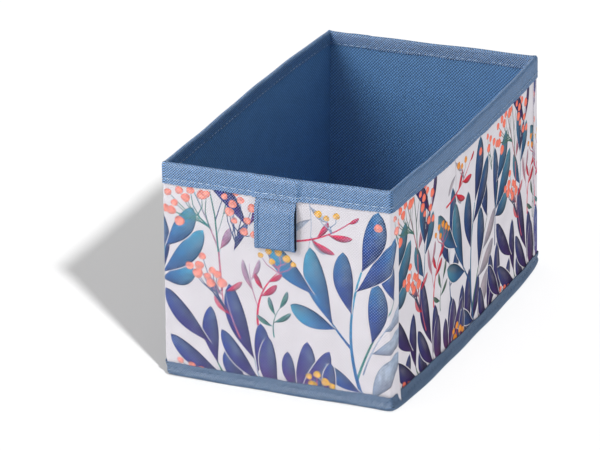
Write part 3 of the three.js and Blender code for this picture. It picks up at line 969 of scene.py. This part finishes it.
def tape_section(outer, inner, edge, up, leg, inner_leg, stitch, pitch, seed, slack, join, swell):
    """The outline of a tape folded over an edge, at one station.

    outer and inner give its two insets, and all lengths are measured away from the edge. up is 1 for a fold
    at the top and -1 for one at the foot. slack is how puckered it is. join is 1 where it overlaps itself,
    and swell where it lies over the tab.
    """

    def waver(s, d, size, number):
        return ripple(s, d, size * MM, seed + number)

    def outer_stand(s, d, end):
        """How far the outer leg stands off at a depth: it is held at the stitches and flares below them."""
        held = hill(d - stitch, 0.9 * MM)
        puff = 0.26 * slack * (1 - held) * (0.5 + 0.5 * waver(s, d, 9, 4)) * min(1, d / (2 * MM))
        pull = held * (0.16 * slack * pucker(s, pitch) - 0.06)
        flare = 0.20 * ramp(d - end + 1.6 * MM, 1.6 * MM) * (0.6 + 0.5 * waver(s, 0.0, 6, 5))
        return (puff + pull + flare + 0.3 * swell(s) * ramp(d - end + 2 * MM, 2 * MM)) * MM

    def section(s):
        radius = (inner(s) - outer(s)) / 2
        middle = (inner(s) + outer(s)) / 2
        end = leg + (0.30 * waver(s, 0.0, 11, 2) + 0.12 * pucker(s, pitch)) * MM
        face, back = [], []
        for d in (end, *np.linspace(end - 0.7 * MM, radius, 9)):
            stand = outer_stand(s, d, end)
            face.append((outer(s) - stand, d))
            back.append((outer(s) + CLOTH - max(stand - 0.06 * MM, -0.08 * MM), d))
        for a in np.linspace(math.pi, 0, 11)[1:-1]:
            for rows, r in ((face, radius), (back, radius - CLOTH)):
                rows.append((middle + r * math.cos(a), radius - r * math.sin(a)))
        # A soft fold either side of each inner corner leaves a crease between them.
        fold = 0.5 * hill(from_corner(s) - 3.2 * MM, 1.3 * MM)
        for d in np.linspace(radius, inner_leg + 0.25 * MM * waver(s, 0.0, 13, 3), 7):
            puff = (0.16 * (1 + waver(s, d, 8, 6)) + fold) * MM * ramp(d - radius, 3 * MM)
            face.append((inner(s) + puff, d))
            back.append((inner(s) - CLOTH + puff * 0.5, d))
        inset, depth = np.array(face + back[::-1]).T
        crown = 0.30 * MM * waver(s, 0.0, 17, 0) + 0.45 * MM * hill(from_corner(s), 2.2 * MM) * up
        rise = 0.8 * CLOTH * join(s) + crown * np.maximum(0, 1 - depth / (4 * MM))
        return np.column_stack([inset, edge + up * (rise - depth)])

    return section


fine = around(1.0 * MM, 6)
top_legs = TOP_LEG, TOP_INNER_LEG, HEIGHT - TOP_STITCH
bottom_legs = BOTTOM_HIGH, BOTTOM_INNER_LEG, BOTTOM_STITCH
top_shape = tape_section(top_outer, top_inner, HEIGHT, 1, *top_legs, STITCH, 1, 1.0, top_join, swell_at)
bottom_shape = tape_section(
    bottom_outer, bottom_inner, 0, -1, *bottom_legs, FINE_STITCH, 7, 2.6, nothing, nothing
)
top_tape = sweep("top_tape", fine, top_shape, tape_cloth)
finish_piece(top_tape, "bin", "top_binding")
bottom_tape = sweep("bottom_tape", fine, bottom_shape, foot_cloth)
finish_piece(bottom_tape, "bin", "bottom_binding")

# ---- Stitches ----

THREAD = 0.18 * MM  # radius of a stitch
SIDES_OF_THREAD = 6


def thread_points(path, radius):
    """Rings of points round a stitch's path, narrower at its ends."""
    way = (path[-1] - path[0]) / np.linalg.norm(path[-1] - path[0])
    side = np.cross(way, [0.31, 0.52, 0.79])
    side /= np.linalg.norm(side)
    other = np.cross(way, side)
    rings = []
    for t, p in zip(np.linspace(-1, 1, len(path)), path):
        r = radius * math.sqrt(max(0.08, 1 - t**4))
        for a in np.linspace(0, 2 * math.pi, SIDES_OF_THREAD + 1)[:-1]:
            rings.append(p + r * (math.cos(a) * side + math.sin(a) * other))
    return rings


def stitches(name, paths, radius, material):
    """Every stitch of a run as a short bowed thread. paths holds one row of points for each stitch."""
    n = SIDES_OF_THREAD
    points, faces, uv = [], [], []
    for path in paths:
        first, last = len(points), len(points) + (len(path) - 1) * n
        points += thread_points(path, radius)
        u = np.linspace(0, 3 * MM, len(path))
        v = np.arange(n + 1) * 0.25 * MM
        for i in range(len(path) - 1):
            for k in range(n):
                a, b = first + i * n + k, first + i * n + (k + 1) % n
                faces.append((a, b, b + n, a + n))
                uv += [(u[i], v[k]), (u[i], v[k + 1]), (u[i + 1], v[k + 1]), (u[i + 1], v[k])]
        faces += [tuple(range(first + n - 1, first - 1, -1)), tuple(range(last, last + n))]
        uv += [(0, 0)] * (2 * n)
    return sharpen(mesh_object(name, points, faces, material, uv), 60)


def run_along(inset, out, height, pitch, length, seed):
    """Stitches round the bin: inset(s) is the cloth's face, and out is 1 where it looks out of the bin."""
    rng = np.random.default_rng(seed)
    count = int(AROUND / pitch)
    t = np.linspace(-1, 1, 7)
    dip = 0.46 * MM * t**6 - 0.16 * MM
    paths = []
    for i in range(count):
        middle = STARTS[0] + (i + 0.5) * AROUND / count + rng.uniform(-0.1, 0.1) * MM
        s = middle + length / 2 * rng.uniform(0.92, 1.08) * t
        tilt = rng.uniform(-0.14, 0.14) * MM
        paths.append(wall(s, inset(s) + out * dip, height(s) + tilt * t))
    return paths


def top_line(s):
    """The height of the outer stitch line, which wanders, and dips beside the tab."""
    dip = 0.9 * MM * hill(s - TAB_X - TAB_WIDTH / 2, 6 * MM)
    return TOP_STITCH + 0.35 * MM * ripple(s, 0.0, 24 * MM, 4) - dip


def top_inner_line(s):
    return HEIGHT - TOP_INNER_LEG + 1.1 * MM + 0.2 * MM * ripple(s, 0.0, 20 * MM, 6)


def bottom_line(s):
    return BOTTOM_STITCH + 0.25 * MM * ripple(s, 0.0, 22 * MM, 8)


runs = {
    "top_outer": (top_outer, 1, top_line, STITCH, 4.6 * MM, "pale_thread"),
    "top_inner": (top_inner, -1, top_inner_line, FINE_STITCH, 2.9 * MM, "pale_thread"),
    "bottom_outer": (bottom_outer, 1, bottom_line, FINE_STITCH, 2.4 * MM, "blue_thread"),
    "bottom_inner": (bottom_inner, -1, bottom_line, FINE_STITCH, 2.4 * MM, "blue_thread"),
}
for seed, (place, (*shape, thread)) in enumerate(runs.items(), start=11):
    run = stitches(f"stitching_{place}", run_along(*shape, seed), THREAD, threads[thread])
    finish_piece(run, "bin", f"thread_{place}")

# The outline runs left to right along the front, and right to left along the back.
for end, seams in (("front", corner_seams("front")), ("back", corner_seams("back")[::-1])):
    for side, s in zip(("left", "right"), seams):
        paths = []
        for z in even(BOTTOM_HIGH + 1 * MM, TOP_LOW - 4 * MM, 3.2 * MM):
            dip = 0.25 * MM * np.linspace(-1, 1, 5) ** 4
            paths.append(wall(s, 0.18 * MM + dip, np.linspace(z, z + 1.9 * MM, 5)))
        run = stitches(f"stitching_corner_{end}_{side}", paths, 0.11 * MM, threads["grey_thread"])
        finish_piece(run, "bin", f"thread_corner_{end}_{side}")

# ---- Pull tab ----

STAND = 3.0 * MM  # how far the front ply stands off the wall
BACK_PLY = 0.35 * MM  # and the back ply
BACK_ROOT, FRONT_ROOT = GAP + CLOTH / 2, 2 * GAP + 1.5 * CLOTH  # where the top tape holds the two plies
ROOT_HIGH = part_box("tab_root")[1].z
FOLD_Z = tab_low.z


def tab_path(across):
    """The strap's middle line: down the back ply, round the fold and up the front. across is -1 to 1."""
    front = STAND + 0.25 * MM * math.sin(across * 2.2 + 0.6) + 0.10 * MM * math.sin(across * 7)
    radius = (front - BACK_PLY) / 2
    foot = FOLD_Z + 0.25 * MM * across
    path = []
    for z in np.linspace(ROOT_HIGH, foot + radius, 22)[:-1]:
        path.append((BACK_ROOT + (BACK_PLY - BACK_ROOT) * ease((TOP_LOW - z) / (9 * MM)), z))
    for a in np.linspace(-math.pi, 0, 13):
        path.append(((front + BACK_PLY) / 2 + radius * math.cos(a), foot + radius + radius * math.sin(a)))
    for z in np.linspace(foot + radius, ROOT_HIGH, 28)[1:]:
        belly = 0.35 * MM * math.sin(math.pi * ramp(TOP_LOW - z, TOP_LOW - foot))
        down = ease((TOP_LOW - 1.2 * MM - z) / (7 * MM))
        path.append((FRONT_ROOT + (front - FRONT_ROOT + belly) * down, z))
    return np.array(path)


def tab_section(s):
    """The strap as a closed outline, thicker inside its groove-edged hems."""
    across = (s - TAB_X) / (TAB_WIDTH / 2)
    hem = 0.25 * MM * ease((abs(across) - 0.80) / 0.03) - 0.16 * MM * hill(abs(across) - 0.79, 0.02)
    path = tab_path(across)
    way = np.gradient(path, axis=0)
    way /= np.linalg.norm(way, axis=1)[:, None]
    side = np.column_stack([way[:, 1], -way[:, 0]]) * CLOTH / 2
    clear = ramp(TOP_LOW - 1 * MM - path[:, 1], 3 * MM)[:, None]
    ring = np.vstack([path + side * (1 + hem / CLOTH * 2 * clear), (path - side)[::-1]])
    return ring * (-1, 1)


hem_rows = TAB_WIDTH / 2 * np.array([0.75, 0.77, 0.79, 0.81, 0.83])
tab_rows = even(tab_low.x, tab_high.x, 1.0 * MM)
tab_rows = np.unique(np.concatenate([tab_rows, TAB_X - hem_rows, TAB_X + hem_rows]))
tab = sweep("tab_strap", tab_rows, tab_section, tape_cloth, closed=False)
ring = len(tab_section(TAB_X))
reverse = tab.data.attributes.new("reverse", "FLOAT", "FACE")
for face in tab.data.polygons:
    inner_side = face.index < (len(tab_rows) - 1) * ring and face.index % ring >= ring // 2
    reverse.data[face.index].value = 1.0 if inner_side else 0.0
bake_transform(tab)
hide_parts("pull_tab", "tab_root")

# ---- Loose base insert ----


def insert_wave(flat):
    return 0.04 * MM * ripple(flat[:, 0], flat[:, 1], 26 * MM, 9)


for name, node, cloth, slot_name, under in (
    ("insert_cloth_under", "insert_cover_bottom", lining_cloth, "lining_fabric", "base_cloth"),
    ("insert_stiffener", "insert_board", greyboard, "greyboard", None),
    ("insert_cloth_over", "insert_cover_top", lining_cloth, "lining_fabric", "insert_stiffener"),
):
    low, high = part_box(node)
    size = high - low
    made = plate(name, rounded(size.x, size.y, 2 * MM), low.z, high.z, cloth, 8 * MM, insert_wave)
    finish_piece(made, "insert", node)

# ---- Floor, light and camera ----


def floor(reach=12.0):
    """A pale floor that glows a little, just under the bin."""
    mesh = bpy.data.meshes.new("floor")
    corners = [(-reach, -reach, 0), (reach, -reach, 0), (reach, reach, 0), (-reach, reach, 0)]
    mesh.from_pydata(corners, [], [(0, 1, 2, 3)])
    made = bpy.data.objects.new("floor", mesh)
    bpy.context.scene.collection.objects.link(made)
    made.location.z = -0.3 * MM
    material, _, shader = new_material("floor")
    shader.inputs["Base Color"].default_value = (0.45, 0.45, 0.45, 1)
    shader.inputs["Roughness"].default_value = 0.9
    shader.inputs["Specular IOR Level"].default_value = 0.0
    shader.inputs["Emission Color"].default_value = (1, 1, 1, 1)
    shader.inputs["Emission Strength"].default_value = 0.268
    mesh.materials.append(material)
    made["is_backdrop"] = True
    return made


def light(name, kind, toward, strength, size, reach, distance=2.0):
    """A light that shines on the bin from a direction, and only on the objects in reach."""
    data = bpy.data.lights.new(name, kind)
    data.energy = strength
    made = bpy.data.objects.new(name, data)
    bpy.context.scene.collection.objects.link(made)
    toward = Vector(toward).normalized()
    made.location = Vector((0, 0, HEIGHT / 2)) + toward * distance
    made.rotation_euler = toward.to_track_quat("Z", "Y").to_euler()
    if kind == "SUN":
        data.angle = math.radians(size)
    else:
        data.shape = "DISK"
        data.size = size
    group = bpy.data.collections.new(f"{name}_reach")
    for obj in reach:
        group.objects.link(obj)
    made.light_linking.receiver_collection = group
    return made


ground = floor()
world = bpy.context.scene.world or bpy.data.worlds.new("world")
bpy.context.scene.world = world
world.use_nodes = True
world.node_tree.nodes["Background"].inputs[0].default_value = (1, 1, 1, 1)
world.node_tree.nodes["Background"].inputs[1].default_value = 0.55
bpy.context.scene.view_settings.view_transform = "Standard"

bin_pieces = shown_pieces()
skins = [obj for obj in bin_pieces if obj.name.startswith("skin_")]
light("sun", "SUN", (0.575, -0.556, 0.585), 6.2, 3.5, [ground])
light("key", "AREA", (-0.75, -1.0, 1.0), 24.0, 1.0, bin_pieces)
card = light("card", "AREA", (-0.62, -0.80, 0.30), 112.0, 1.4, bin_pieces)
brow = light("brow", "AREA", (-0.1, -0.35, 1.0), 60.0, 1.2, bin_pieces)
light("side", "AREA", (1.0, -0.1, 0.3), 9.0, 1.2, skins)
edge = light("edge", "AREA", (-0.3, 0.85, 0.25), 6.0, 1.2, bin_pieces)
for gloss_only in (card, brow, edge):
    gloss_only.visible_diffuse = False

# The camera, fitted to the bin's corners in the photograph.
AIM = Vector((-0.0304, -0.0156, 0.0602))
AZIMUTH, ELEVATION, ROLL = math.radians(23.23), math.radians(21.70), math.radians(-0.50)
DISTANCE = 2.7237
camera_data = bpy.data.cameras.new("camera")
camera_data.lens = 276.25
camera_data.sensor_width = 36
camera_data.clip_end = 60
camera = bpy.data.objects.new("camera", camera_data)
bpy.context.scene.collection.objects.link(camera)
level = math.cos(ELEVATION)
back = Vector((math.sin(AZIMUTH) * level, -math.cos(AZIMUTH) * level, math.sin(ELEVATION)))
camera.location = AIM + back * DISTANCE
camera.rotation_euler = (back.to_track_quat("Z", "Y").to_matrix() @ Matrix.Rotation(ROLL, 3, "Z")).to_euler()
bpy.context.scene.camera = camera
